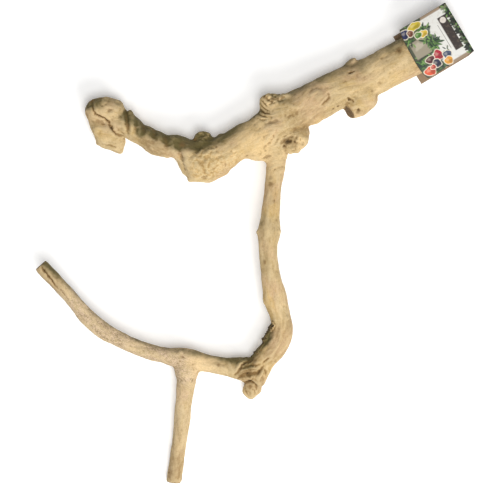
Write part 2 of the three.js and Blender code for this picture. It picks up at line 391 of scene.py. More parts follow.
class Skin:
    """The wood's surface as arrays of corners and quads, with the fields that its finish reads."""

    def __init__(self, mesh, relief):
        self.relief = relief
        self.place = read(mesh.vertices, "co", 3)
        self.faces = read(mesh.loops, "vertex_index", 1, int).reshape(-1, 4)
        self.edges = read(mesh.edges, "vertices", 2, int)
        self.count = len(self.place)
        self.fields = {name: np.zeros(self.count) for name in ("stain_and_shade", "bark", "cut", "crust")}
        self.turn_normals()

    def turn_normals(self):
        """Works the normals out again, after the surface has moved."""
        corner = self.place[self.faces]
        face = np.cross(corner[:, 2] - corner[:, 0], corner[:, 3] - corner[:, 1])
        total = self.gathered(np.repeat(face, 4, axis=0), self.faces.ravel())
        self.normal = total / np.maximum(np.linalg.norm(total, axis=1), 1e-12)[:, None]

    def gathered(self, values, owners):
        columns = [np.bincount(owners, values[:, i], self.count) for i in range(values.shape[1])]
        return np.stack(columns, axis=1)

    def averaged(self, values, rounds):
        """Values evened out over their neighbours, as many times as asked."""
        flat = values.reshape(self.count, -1)
        start, end = self.edges.T
        owners = np.concatenate([start, end])
        links = np.bincount(owners, minlength=self.count)[:, None]
        for _ in range(rounds):
            around = self.gathered(np.concatenate([flat[end], flat[start]]), owners)
            flat = (flat + around) / (1 + links)
        return flat.reshape(values.shape)

    def push(self, amount, picked=slice(None)):
        """Moves the surface, or part of it, out along its normals, by metres."""
        self.place[picked] += self.normal[picked] * amount[:, None]

    def mark(self, field, picked, amount):
        """Raises a field to an amount where it is lower."""
        self.fields[field][picked] = np.maximum(self.fields[field][picked], amount)

    def find_top(self):
        """Readies the search for the surface seen from above."""
        self.top = np.flatnonzero(self.normal[:, 2] > 0.02)
        self.tree = KDTree(len(self.top))
        for i, vertex in enumerate(self.top):
            self.tree.insert((self.place[vertex, 0], self.place[vertex, 1], 0), i)
        self.tree.balance()

    def under(self, spot):
        """The corner of the surface that lies under a level place."""
        found = self.tree.find_n((spot[0], spot[1], 0), 4)
        return self.top[max(found, key=lambda hit: self.place[self.top[hit[1]], 2])[1]]

    def stroke(self, node, spots, wobble, step=0.45 * MM):
        """Points of the surface along a shaky line through places on a limb."""
        stops = np.array([box_place(node, spot) for spot in spots])
        along, line = evenly(stops, step)
        line = smoothed_line(line, rounds=5)
        shake = Noise(len(spots))
        for i in (0, 1):
            key = np.stack([along / (3 * MM), np.full_like(along, stops[0, 0] * 400 + i * 7), along * 0], 1)
            line[:, i] += shake(key) * wobble
        return self.place[[self.under(spot) for spot in line]]

    def near(self, points, reach):
        """The corners within reach of a row of points, how far each is, and its share along the row."""
        low, high = points.min(0) - reach, points.max(0) + reach
        picked = np.flatnonzero(((self.place > low) & (self.place < high)).all(1))
        gap = np.linalg.norm(self.place[picked, None] - points[None], axis=2)
        return picked, gap.min(1), gap.argmin(1) / max(1, len(points) - 1)

    def strokes(self, table, reach, wobble=0.5 * MM):
        """The corners near each stroke of a table, how far they are, how it tapers, and its sizes."""
        for limb, rows in table:
            for half, *sizes, spots in rows:
                picked, gap, share = self.near(self.stroke(limb, spots, wobble), half * reach * MM)
                taper = np.sqrt(np.sin(math.pi * np.clip(share, 0.04, 0.96)))
                yield picked, gap, taper, half * MM, *sizes

    def patches(self, table, reach):
        """The corners round each place of a table, how far they are in its own size, and the row's rest."""
        for limb, rows in table:
            for x, y, size, *rest in rows:
                centre = self.place[self.under(box_place(limb, (x, y)))]
                picked = np.flatnonzero((abs(self.place - centre) < reach * size * MM).all(1))
                yield picked, np.linalg.norm(self.place[picked] - centre, axis=1) / (size * MM), *rest


class Pith:
    """The line through a limb's middle, which its grain follows."""

    def __init__(self, place, axis, way, step=5 * MM):
        self.axis, self.way = axis, way
        travel = way * place[:, axis]
        slices = np.arange(travel.min() + step, travel.max() - step, step)
        middles = [place[abs(travel - at) < step].mean(0) for at in slices]
        self.travel = slices
        self.middle = smoothed_line(np.array(middles), rounds=8)
        self.run = run_along(self.middle)
        self.heading = np.gradient(self.middle, axis=0)
        self.heading /= np.linalg.norm(self.heading, axis=1)[:, None]

    def at(self, travel, table):
        return np.stack([np.interp(travel, self.travel, table[:, i]) for i in range(3)], axis=1)

    def grain(self, points):
        """Metres along the limb, then metres across and above its middle."""
        travel = self.way * points[:, self.axis]
        away = points - self.at(travel, self.middle)
        heading = self.at(travel, self.heading)
        heading /= np.linalg.norm(heading, axis=1)[:, None]
        across = np.cross((0, 0, 1), heading)
        across /= np.linalg.norm(across, axis=1)[:, None]
        above = np.cross(heading, across)
        along = np.interp(travel, self.travel, self.run) + (away * heading).sum(1)
        return np.stack([along, (away * across).sum(1), (away * above).sum(1)], axis=1)


def joined_wood(settings):
    """The four limbs as one closed skin, with the gaps at the forks closed up."""
    gap_reach, overlap = 0.45 * MM, 0.7 * MM
    parts = {node: cad_arrays(node) for node in LIMBS}
    for parent, child in FORKS:
        tree = BVHTree.FromPolygons(parts[parent][0].tolist(), parts[parent][1].tolist())
        place = parts[child][0]
        for i, corner in enumerate(place):
            hit, _, _, gap = tree.find_nearest(Vector(corner), gap_reach)
            if hit is not None:
                place[i] = corner + (np.array(hit) - corner) * (1 + overlap / max(gap, 1e-6))
    places, faces, start = [], [], 0
    for place, triangles in parts.values():
        places.append(place)
        faces.append(triangles + start)
        start += len(place)
    blank = add_object("blank", mesh_from("blank", np.concatenate(places), np.concatenate(faces)))
    remesh = blank.modifiers.new("skin", "REMESH")
    remesh.mode = "VOXEL"
    remesh.voxel_size = settings.skin_step
    graph = bpy.context.evaluated_depsgraph_get()
    mesh = bpy.data.meshes.new_from_object(blank.evaluated_get(graph))
    bpy.data.objects.remove(blank)
    return Skin(mesh, settings.relief)


def limb_distances(points):
    """How far each point is from each CAD limb."""
    columns = []
    for node in LIMBS:
        place, faces = cad_arrays(node)
        tree = BVHTree.FromPolygons(place.tolist(), faces.tolist())
        columns.append([tree.find_nearest(point)[3] for point in points.tolist()])
    return np.array(columns).T


def soften(skin):
    """Blends the facets into one another without thinning the limbs, and keeps the lobes' creases."""
    crisp = np.zeros(skin.count)
    skin.find_top()
    for picked, gap, *_ in skin.patches(CRUMPLES, 1.5):
        crisp[picked] = np.maximum(crisp[picked], smooth_step(1.5, 0.7, gap))
    start = skin.place.copy()
    sharp = skin.averaged(start, rounds=4)
    soft = skin.averaged(sharp, rounds=15)
    skin.place = soft + (sharp - soft) * crisp[:, None]
    skin.turn_normals()
    lost = ((start - skin.place) * skin.normal).sum(1)
    skin.push(skin.averaged(lost, rounds=55))
    skin.turn_normals()


def lay_grain(skin, distances):
    """Gives the skin its grain, which turns from each limb into the next at their fork."""
    blend = 11 * MM
    grains, skin.sides = {}, {}
    nearest = distances.argmin(1)
    names = list(LIMBS)
    for i, (node, (axis, way)) in enumerate(LIMBS.items()):
        grains[node] = Pith(skin.place[nearest == i], axis, way).grain(skin.place)
        across = grains[node][:, 1]
        skin.sides[node] = across / np.maximum(np.hypot(across, grains[node][:, 2]), 1e-6)
    for parent, child in FORKS:
        a, b = names.index(parent), names.index(child)
        close = (distances[:, a] < 2 * MM) & (distances[:, b] < 2 * MM)
        grains[child][:, 0] += grains[parent][close, 0].mean() - grains[child][close, 0].mean()
    weights = np.zeros((skin.count, len(names)))
    for i in range(len(names)):
        others = np.delete(distances, i, axis=1).min(1)
        weights[:, i] = smooth_step(-blend, blend, others - distances[:, i])
    weights /= weights.sum(1)[:, None]
    skin.grain = sum(grains[node] * weights[:, i, None] for i, node in enumerate(names))
    skin.membership = dict(zip(names, weights.T))


def lean_crest(skin):
    """Slopes the limb's far flank down from its crest where the neck is keeled."""
    low, high = BOXES["main_limb"]
    share = (skin.place[:, 0] - low[0]) / (high[0] - low[0])
    angle = np.degrees(np.arctan2(skin.grain[:, 1], skin.grain[:, 2]))
    flank = bell((angle - 55) / 34) * skin.membership["main_limb"]
    for centre, half, depth in KEELS:
        skin.push(-flank * np.exp(-(((share - centre) / half) ** 4)) * depth * MM)


def weather(skin):
    """The long waves, flutes and ripples that run with the grain, calmer where two limbs meet."""
    calm = 0.2 + 0.8 * smooth_step(0.5, 0.98, np.max(list(skin.membership.values()), axis=0))
    waves = ((62, 30, 1.3), (34, 13, 1.0), (17, 7.5, 0.6), (9, 4.4, 0.30), (6, 2.4, 0.13))
    for seed, (along, across, height) in enumerate(waves):
        size = np.array([along, across, across]) * MM
        skin.push(Noise(seed)(skin.grain / size) * height * calm * MM * skin.relief)
    for seed, size, height in ((8, 5.0, 0.20), (9, 3.0, 0.15)):
        skin.push(Noise(seed)(skin.place / (size * MM)) * height * MM * skin.relief)


def cut_furrows(skin):
    """Valleys of uneven width and depth, with a slight lip and painted shade darkening the bottom."""
    uneven = Noise(21)
    for picked, gap, taper, half, deep, stain_and_shade in skin.strokes(FURROWS, 5):
        vary = uneven(skin.place[picked] / (4 * MM))
        width = half * (1 + 0.35 * vary)
        taper = taper * (1 - 0.3 * vary)
        valley = bell(gap / width) * taper
        lip = bell((gap - 2.3 * width) / (1.3 * width)) * taper
        skin.push((0.2 * lip - valley) * deep * MM, picked)
        skin.mark("stain_and_shade", picked, stain_and_shade * bell(gap / (0.8 * width)) * taper)


def raise_ridges(skin):
    uneven = Noise(22)
    for picked, gap, taper, half, high in skin.strokes(RIDGES, 4):
        width = half * (1 + 0.3 * uneven(skin.place[picked] / (5 * MM)))
        skin.push(bell(gap / width) * taper * high * MM, picked)


def swell(skin):
    for picked, gap, high in skin.patches(SWELLINGS, 3):
        skin.push(bell(gap) * high * MM, picked)


def grow_knots(skin):
    """Each knot is a low rise with a ragged eye, and the grain bends round it."""
    rough = Noise(31)
    for picked, gap, rise, eye in skin.patches(KNOTS, 4):
        heart = skin.grain[picked[gap.argmin()]].copy()
        gap = gap * (1 + 0.5 * rough(skin.place[picked] / (2.6 * MM)))
        dome = bell(gap / 1.4) * rise
        hole = np.exp(-((gap / 0.62) ** 3)) * eye
        skin.push((dome - hole) * MM, picked)
        skin.mark("stain_and_shade", picked, 0.9 * np.exp(-((gap / 0.7) ** 3)))
        skin.grain[picked, 1:] += (heart[1:] - skin.grain[picked, 1:]) * bell(gap / 1.6)[:, None] * 0.8


def crumple(skin):
    """Crusty lumps and pits on the burls and broken ends."""
    layers, pits = [Noise(seed) for seed in (41, 42, 43)], Noise(44)
    for picked, gap, height, lump, crusty in skin.patches(CRUMPLES, 1):
        place = skin.place[picked]
        mask = smooth_step(1.0, 0.5, gap)
        depth = np.zeros(len(picked))
        for i, noise in enumerate(layers):
            depth += (np.hypot(noise(place * 1.8**i / (lump * MM)), 0.12) - 0.3) / 1.8**i
        pit = smooth_step(0.35, 0.8, pits(place / (0.6 * lump * MM)))
        skin.push((depth - 0.3 * pit) * mask * height * MM * skin.relief, picked)
        # The pits are darkened with painted shade.
        skin.mark("stain_and_shade", picked, 0.2 * pit * mask)
        skin.mark("crust", picked, crusty * mask)


def pepper(skin):
    """A scatter of small pores and dents everywhere."""
    draw = np.random.default_rng(7)
    for vertex in draw.integers(0, skin.count, 240):
        radius, depth = draw.uniform(0.8, 3.2), draw.uniform(0.1, 0.6)
        picked, gap, _ = skin.near(skin.place[vertex][None], 3 * radius * MM)
        fade = bell(gap / (radius * MM))
        skin.push(-fade * depth * MM, picked)
        # The deeper pores are darkened with painted shade.
        skin.mark("stain_and_shade", picked, fade * max(0.0, depth - 0.3))


def smudge_and_shade(skin):
    """Soft dark marks, stains and painted shade in creases and dimples; a dull greenish brown of weathering
    and painted shade on the side turned from the key light; and broad pale or dull tones.
    """
    ragged = Noise(71)
    for picked, gap, strength in skin.patches(SMUDGES, 3):
        gap = gap * (1 + 0.45 * ragged(skin.place[picked] / (2.4 * MM)))
        skin.mark("stain_and_shade", picked, 0.8 * strength * bell(gap))
    patchy = 0.22 * ragged(skin.place / (15 * MM)) + 0.10 * ragged(skin.place / (6 * MM))
    reached = np.zeros(skin.count)
    for picked, gap, strength in skin.patches(WEATHERED_AND_SHADED, 2.5):
        reached[picked] = np.maximum(reached[picked], strength * bell(gap))
    # Painted shade: the side that faces away from the key light, and on the main limb and the arm the flank
    # on that side, turn a dull greenish brown, with weathering where the table reaches.
    broad = skin.averaged(skin.normal, rounds=6)
    facing = 0.95 * broad[:, 1] - 0.2 * broad[:, 0] - 0.25 * broad[:, 2]
    for node, way in (("main_limb", 1), ("side_arm", -1)):
        side = way * skin.sides[node]
        turned = np.minimum(0.85 * side - 0.3 * (1 - abs(side)), facing + 0.4)
        facing = facing + skin.membership[node] * (turned - facing)
    skin.fields["olive_and_shade"] = smooth_step(0.25, 1.35, facing + patchy + 1.1 * reached)
    skin.fields["tone"] = 0.25 * ragged(skin.place / (11 * MM))
    for picked, gap, strength in skin.patches(TONES, 2.5):
        skin.fields["tone"][picked] += strength * bell(gap)


def leave_bark(skin):
    """Dark ragged scraps of bark along the inner bend."""
    ragged = Noise(51)
    for picked, gap, _, half, high in skin.strokes(BARK, 3, 0.9 * MM):
        edge = half * (1 + 0.6 * ragged(skin.place[picked] / (1.9 * MM)))
        cover = smooth_step(1.15, 0.75, gap / edge)
        rough = 1 + 0.5 * ragged(skin.place[picked] / (1.1 * MM))
        skin.push(cover * high * MM * rough, picked)
        skin.mark("bark", picked, cover)


def wear(skin):
    """Takes the sharpest edges off."""
    skin.place = skin.averaged(skin.place, rounds=1)


def saw_ends(skin):
    """Flattens the sawn faces again and marks them."""
    reach, straight, spread = 26 * MM, 0.96, 1.25
    below, above = -1.1 * MM, 3 * MM
    for node, spot, look in SAWN:
        place, faces = cad_arrays(node)
        corner = place[faces]
        cross = np.cross(corner[:, 1] - corner[:, 0], corner[:, 2] - corner[:, 0])
        area = np.linalg.norm(cross, axis=1)
        facing = (cross / np.maximum(area, 1e-15)[:, None]) @ (np.array(look) / np.linalg.norm(look))
        near = np.linalg.norm(corner.mean(1)[:, :2] - box_place(node, spot), axis=1) < reach
        chosen = (facing > straight) & near
        out = cross[chosen].sum(0) / np.linalg.norm(cross[chosen].sum(0))
        centre = (corner.mean(1)[chosen] * area[chosen, None]).sum(0) / area[chosen].sum()
        radius = math.sqrt(area[chosen].sum() / 2 / math.pi)
        away = skin.place - centre
        height = away @ out
        flat = np.linalg.norm(away - height[:, None] * out, axis=1)
        end = (height > below) & (height < above) & (flat < radius * spread)
        skin.place[end] -= height[end, None] * out
        facing_out = smooth_step(0.55, 0.85, skin.normal @ out)
        skin.mark("cut", end, facing_out[end])


def find_cavities(skin):
    """How deep each place sits among its neighbours: 0 on a crest, 1 in a hollow."""
    close = ((skin.averaged(skin.place, rounds=3) - skin.place) * skin.normal).sum(1) / (0.12 * MM)
    wide = ((skin.averaged(skin.place, rounds=15) - skin.place) * skin.normal).sum(1) / (0.6 * MM)
    skin.fields["cavity"] = np.clip(0.5 + 0.25 * close + 0.3 * wide, 0, 1)


def carve(skin, steps):
    """Does each step on the skin and works its normals out again."""
    for step in steps:
        step(skin)
        skin.turn_normals()


def carved_wood(settings):
    """The whole branch, carved as one skin, with how far each corner is from each CAD limb."""
    skin = joined_wood(settings)
    soften(skin)
    distances = limb_distances(skin.place)
    lay_grain(skin, distances)
    carve(skin, (lean_crest, weather))
    skin.find_top()
    carve(skin, (swell, raise_ridges, cut_furrows, grow_knots, crumple, pepper))
    skin.find_top()
    carve(skin, (smudge_and_shade, leave_bark, wear, saw_ends))
    floor_gap = 0.1 * MM
    skin.place[:, 2] = np.maximum(skin.place[:, 2], floor_gap)
    find_cavities(skin)
    outer_arm = skin.membership["side_arm"] * smooth_step(-0.02, -0.09, skin.place[:, 0])
    skin.fields["arm"] = np.clip(outer_arm + 0.35 * skin.membership["peg_shoot"], 0, 1)
    return skin, distances


def limb_piece(name, skin, faces):
    """One limb of the skin as a closed mesh that meets its neighbour without a seam."""
    used, faces = np.unique(faces, return_inverse=True)
    mesh = mesh_from(name, skin.place[used], faces.reshape(-1, 4))
    for field, values in skin.fields.items():
        lay_on(mesh, field, values[used])
    lay_on(mesh, "grain", skin.grain[used], "FLOAT_VECTOR", "vector")
    solid = bmesh.new()
    solid.from_mesh(mesh)
    rim = [edge for edge in solid.edges if edge.is_boundary]
    caps = bmesh.ops.holes_fill(solid, edges=rim, sides=0)["faces"]
    bmesh.ops.poke(solid, faces=caps)
    solid.to_mesh(mesh)
    solid.free()
    mesh.polygons.foreach_set("use_smooth", [True] * len(mesh.polygons))
    normals = np.zeros((len(mesh.vertices), 3))
    normals[:len(used)] = skin.normal[used]
    mesh.normals_split_custom_set_from_vertices(normals.tolist())
    return add_object(name, mesh)


class Value:
    """A node's output that can be used in sums."""

    def __init__(self, finish, socket):
        self.finish, self.socket = finish, socket

    def _sum(self, operation, first, second):
        return self.finish.node("ShaderNodeMath", {"operation": operation}, {0: first, 1: second})

    def __add__(self, other):
        return self._sum("ADD", self, other)

    def __radd__(self, other):
        return self._sum("ADD", other, self)

    def __sub__(self, other):
        return self._sum("SUBTRACT", self, other)

    def __rsub__(self, other):
        return self._sum("SUBTRACT", other, self)

    def __mul__(self, other):
        return self._sum("MULTIPLY", self, other)

    def __rmul__(self, other):
        return self._sum("MULTIPLY", other, self)


def opaque(colour):
    return colour if isinstance(colour, Value) else (*colour[:3], 1)


class Finish:
    """A material and the nodes that make it."""

    def __init__(self, name):
        self.material = bpy.data.materials.new(name)
        self.material.use_nodes = True
        self.tree = self.material.node_tree
        self.tree.nodes.clear()
        self.spot = self.node("ShaderNodeTexCoord", output="Object")

    def node(self, kind, settings=None, inputs=None, output=0):
        """Adds a node, sets it, then feeds its sockets with values or links."""
        node = self.tree.nodes.new(kind)
        for key, value in (settings or {}).items():
            setattr(node, key, value)
        for key, value in (inputs or {}).items():
            if isinstance(value, Value):
                self.tree.links.new(value.socket, node.inputs[key])
            else:
                node.inputs[key].default_value = value
        return Value(self, node.outputs[output]) if node.outputs else node

    def attribute(self, name, output="Fac"):
        return self.node("ShaderNodeAttribute", {"attribute_name": name}, output=output)

    def scaled(self, vector, by):
        return self.node("ShaderNodeVectorMath", {"operation": "MULTIPLY"}, {0: vector, 1: by})

    def noise(self, vector, scale, detail=2.0, roughness=0.5, distortion=0.0):
        """Noise over a vector, with so many lumps to the metre each way."""
        settings = {"Scale": 1.0, "Detail": detail, "Roughness": roughness, "Distortion": distortion}
        return self.node("ShaderNodeTexNoise", None, {"Vector": self.scaled(vector, scale), **settings})

    def between(self, value, low, high):
        """0 below low, 1 above high, and smooth in between."""
        settings = {"interpolation_type": "SMOOTHSTEP", "clamp": True}
        inputs = {"Value": value, "From Min": low, "From Max": high}
        return self.node("ShaderNodeMapRange", settings, inputs)

    def mix(self, share, first, second):
        """Two colours mixed by a share."""
        inputs = {0: share, 6: opaque(first), 7: opaque(second)}
        return self.node("ShaderNodeMix", {"data_type": "RGBA"}, inputs, output=2)

    def coats(self, colour, *coats):
        """A colour under coats of paint: how strong, the pattern, its two limits, and the paint."""
        for strength, pattern, low, high, paint in coats:
            colour = self.mix(strength * self.between(pattern, low, high), colour, paint)
        return colour

    def close(self, inputs, bump=None, distance=0.4 * MM, strength=0.5):
        """Feeds the surface shader and the output."""
        if bump is not None:
            heights = {"Height": bump, "Distance": distance, "Strength": strength}
            inputs = {**inputs, "Normal": self.node("ShaderNodeBump", None, heights)}
        shader = self.node("ShaderNodeBsdfPrincipled", None, inputs)
        self.node("ShaderNodeOutputMaterial", None, {"Surface": shader})
        return self.material


def bare_wood(settings):
    """Dry debarked wood: patches, streaks and flecks with the grain, stains, painted shade in the hollows
    and on the side turned from the key light, bark and sawn ends.
    """
    wood = Finish("bare wood")
    spot, grain = wood.spot, wood.attribute("grain", "Vector")
    pale, tan, brown, dark = settings.pale_wood, settings.tan_wood, settings.brown_wood, settings.dark_wood
    ochre, peach, dull = settings.ochre_wood, settings.peach_wood, settings.dull_wood
    patch = wood.noise(spot, (34, 34, 34), 3, 0.55, 0.3)
    rose = wood.noise(spot, (21, 23, 21), 2, 0.5, 0.4)
    yellow = wood.noise(spot, (27, 25, 31), 2, 0.5, 0.4)
    broad = wood.noise(grain, (28, 120, 120), 3, 0.6, 0.5)
    flow = wood.noise(grain, (50, 280, 280), 3, 0.6, 0.5)
    streak = wood.noise(grain, (95, 560, 560), 3, 0.6, 0.3)
    hair = wood.noise(grain, (240, 1800, 1800), 2, 0.6)
    mottle = wood.noise(grain, (190, 330, 330), 4, 0.62, 0.6)
    fleck = wood.noise(grain, (420, 1100, 1100), 1, 0.5)
    grit = wood.noise(spot, (520, 520, 520), 4, 0.7, 0.4)
    colour = wood.coats(
        tan,
        (1, 0.5 * broad + 0.2 * streak + 0.3 * patch, 0.38, 0.62, pale),
        (0.75, rose, 0.48, 0.66, settings.pink_wood),
        (0.6, yellow, 0.50, 0.68, ochre),
        (0.4, mottle, 0.54, 0.72, tan),
        (0.28, mottle, 0.46, 0.30, pale),
        (0.40, streak, 0.54, 0.64, ochre),
        (0.35, streak, 0.46, 0.36, pale),
        (0.26, hair, 0.52, 0.70, brown),
        (0.35, fleck, 0.70, 0.80, brown),
    )

    # The crust of the burls, then the greyer and rosier arm.
    scab = wood.noise(spot, (250, 250, 250), 3, 0.65, 0.8)
    crust = wood.attribute("crust")
    crusty = wood.coats(settings.scab_wood, (1, scab, 0.44, 0.56, settings.cream_wood))
    colour = wood.mix(0.8 * crust, colour, crusty)
    worm = wood.noise(grain, (300, 480, 480), 3, 0.65, 1.6)
    dry = wood.coats(
        settings.grey_wood,
        (1, worm, 0.42, 0.54, settings.rosy_wood),
        (0.4, patch, 0.52, 0.66, pale),
        (0.5, worm, 0.38, 0.30, brown),
    )
    colour = wood.mix(0.85 * wood.attribute("arm"), colour, dry)

    # Broad tones and fine grit.
    tone = wood.attribute("tone") + 0.8 * (patch - 0.5)
    colour = wood.coats(
        colour,
        (0.75, tone, 0.0, 1.0, peach),
        (0.75, tone, 0.0, -1.0, dull),
        (0.24, flow, 0.53, 0.66, dull),
        (0.24, flow, 0.47, 0.36, peach),
        (0.15, streak, 0.55, 0.66, brown),
        (0.24, grit, 0.50, 0.34, brown),
        (0.22, grit, 0.52, 0.68, settings.cream_wood),
    )

    # Painted shade in the hollows and paler crests, the dull side turned from the key light in weathering
    # and painted shade, then stains with painted shade in creases and pits.
    cavity, stain_and_shade = wood.attribute("cavity"), wood.attribute("stain_and_shade")
    hollow = wood.between(cavity, 0.56, 1.0) * (1 - 0.6 * crust)
    olive_and_shade = wood.attribute("olive_and_shade") * (0.55 + 0.4 * mottle + 0.5 * cavity)
    ragged = stain_and_shade * (0.65 + 0.7 * mottle)
    colour = wood.coats(
        wood.mix(0.6 * hollow, colour, brown),
        (0.45, cavity, 0.44, 0.1, pale),
        (0.9, olive_and_shade, 0.0, 1.0, settings.olive_wood),
        (0.75, ragged, 0.04, 0.6, brown),
        (0.85, ragged, 0.5, 1.0, dark),
    )

    # Rings on the sawn faces, then scraps of bark over everything.
    across = wood.scaled(grain, (0, 1, 1))
    radius = wood.node("ShaderNodeVectorMath", {"operation": "LENGTH"}, {0: across}, output=1)
    rings = wood.node("ShaderNodeMath", {"operation": "SINE"}, {0: radius * 5200 + 9 * patch})
    face = wood.mix(0.5 + 0.32 * rings, settings.cut_wood, brown)
    face = wood.coats(face, (0.6, mottle, 0.42, 0.66, dark))
    colour = wood.mix(wood.attribute("cut"), colour, face)
    scrap = wood.coats(dark, (1, mottle, 0.35, 0.65, settings.bark_brown))
    colour = wood.coats(colour, (1, wood.attribute("bark"), 0.3, 0.6, scrap))

    bump = 0.5 * hair + 0.7 * streak - 0.8 * wood.between(fleck, 0.66, 0.80) + 0.9 * mottle + 0.8 * grit
    inputs = {"Base Color": colour, "Roughness": 0.72 + 0.16 * streak, "Specular IOR Level": 0.25}
    return wood.close(inputs, bump, 0.7 * MM, 0.8)


class Card:
    """The card as it lies: where its mouth is, the way to its spine, and its heights."""

    def __init__(self):
        place, faces = cad_arrays("card_tag")
        corner = place[faces]
        cross = np.cross(corner[:, 1] - corner[:, 0], corner[:, 2] - corner[:, 0])
        upright = abs(cross[:, 2]) < 1e-3 * np.linalg.norm(cross, axis=1)
        spine = cross[upright][np.argmax(np.linalg.norm(cross[upright], axis=1))]
        to_card = sum(BOXES["card_tag"], Vector()) / 2 - sum(BOXES["main_limb"], Vector()) / 2
        self.along = spine / np.linalg.norm(spine) * np.sign(spine @ np.array(to_card))
        self.across = np.cross((0, 0, 1), self.along)
        travel, side = place @ self.along, place @ self.across
        low, high = place[:, 2].min(), place[:, 2].max()
        upper, lower = place[:, 2] > (low + high) / 2, place[:, 2] < (low + high) / 2
        self.mouth, self.lip = travel[upper].min(), travel[lower].min()
        self.spine = travel.max()
        self.middle = (side.min() + side.max()) / 2
        self.half = (side.max() - side.min()) / 2
        self.low, self.high = low, high

    def profile(self, thick, fold, step):
        """The sheet's middle line from the lower lip round the spine to the mouth: travel and height."""
        low, high = self.low + thick, self.high - thick
        spine = self.spine - thick
        turn = np.linspace(0, math.pi / 2, 9)
        points = [(self.lip, low)]
        points += [(spine - fold + fold * math.sin(a), low + fold - fold * math.cos(a)) for a in turn]
        points += [(spine - fold + fold * math.cos(a), high - fold + fold * math.sin(a)) for a in turn]
        points += [(self.mouth, high)]
        return evenly(np.array(points), step)[1]


LEAF_GREENS = (linear(40, 72, 40), linear(72, 110, 50), linear(24, 46, 32), linear(112, 150, 78))
# Sprays of leaves on the card: place in millimetres from the mouth and the middle, count, leaf length.
SPRAYS = (
    (29, 20, 16, 9), (24, 8, 18, 8), (30, 2, 22, 10), (27, -6, 18, 8), (5, 14, 14, 7), (7, -14, 14, 8),
    (4, -20, 12, 7), (16, -31, 10, 7), (28, -31, 9, 7), (12, 30, 9, 7), (22, -18, 12, 7), (38, -18, 8, 6),
)
# Dark thickets behind the sprays: place and half size.
THICKETS = (
    (29, 17, 4.5, 6), (27.5, 2, 6, 9.5), (5.5, 14, 5.5, 3.5), (7, -14, 7, 5),
    (15, -29, 12, 3.5), (22, -19, 8, 8), (12, 27, 11, 4),
)
# Berries and petals on the card: place, half size and display colour, with a pale rim round each.
BERRIES = (
    (18.5, 28.0, 8.5, 4.2, 198, 176, 44),
    (4.5, 25.0, 5.8, 5.2, 38, 44, 84),
    (10.5, 22.8, 3.4, 3.8, 120, 66, 44),
    (23.5, 15.0, 5.2, 3.6, 214, 180, 56),
    (17.5, 16.5, 4.2, 3.4, 84, 132, 54),
    (26.0, -15.6, 5.2, 6.0, 168, 26, 46),
    (35.5, -20.5, 5.0, 4.6, 62, 78, 104),
    (33.5, -27.5, 5.0, 4.4, 216, 150, 44),
    (15.5, -16.0, 5.2, 4.0, 84, 30, 36),
    (19.7, -23.4, 5.0, 4.8, 36, 40, 66),
    (8.5, -27.5, 6.4, 5.2, 214, 78, 36),
    (14.0, -25.0, 3.0, 2.6, 188, 52, 36),
)


class Print:
    """The ink on a panel, at u millimetres from the card's mouth and v from its middle."""

    def __init__(self, u, v, ground):
        self.u, self.v = u, v
        self.colour = np.tile(np.array(ground), (len(u), 1))

    def lay(self, paint, share):
        self.colour = self.colour + (np.array(paint) - self.colour) * share[:, None]

    def oval(self, paint, centre, size, wave=0.0, soft=0.35, strength=1):
        """An uneven oval."""
        du, dv = self.u - centre[0], self.v - centre[1]
        turn = np.arctan2(dv, du)
        reach = np.hypot(du / size[0], dv / size[1])
        reach *= 1 + wave * (np.sin(3 * turn + centre[0]) + 0.6 * np.sin(5 * turn + centre[1]))
        self.lay(paint, strength * np.clip((1 - reach) * min(size) / soft + 0.5, 0, 1))

    def box(self, paint, centre, half, soft=0.35, strength=1):
        inside = np.minimum(half[0] - abs(self.u - centre[0]), half[1] - abs(self.v - centre[1]))
        self.lay(paint, strength * np.clip(inside / soft + 0.5, 0, 1))

    def leaf(self, draw, root, long, wide, soft=0.35):
        """One pointed leaf of a random green turned a random way."""
        green = LEAF_GREENS[draw.integers(4)]
        turn = draw.uniform(0, 2 * math.pi)
        cosine, sine = math.cos(turn), math.sin(turn)
        du, dv = self.u - root[0], self.v - root[1]
        along, side = (du * cosine + dv * sine) / long, abs(dv * cosine - du * sine)
        edge = wide * np.sin(math.pi * np.clip(along, 0, 1)) ** 0.8
        self.lay(green, np.clip((edge - side) / soft + 0.5, 0, 1) * ((along > 0) & (along < 1)))


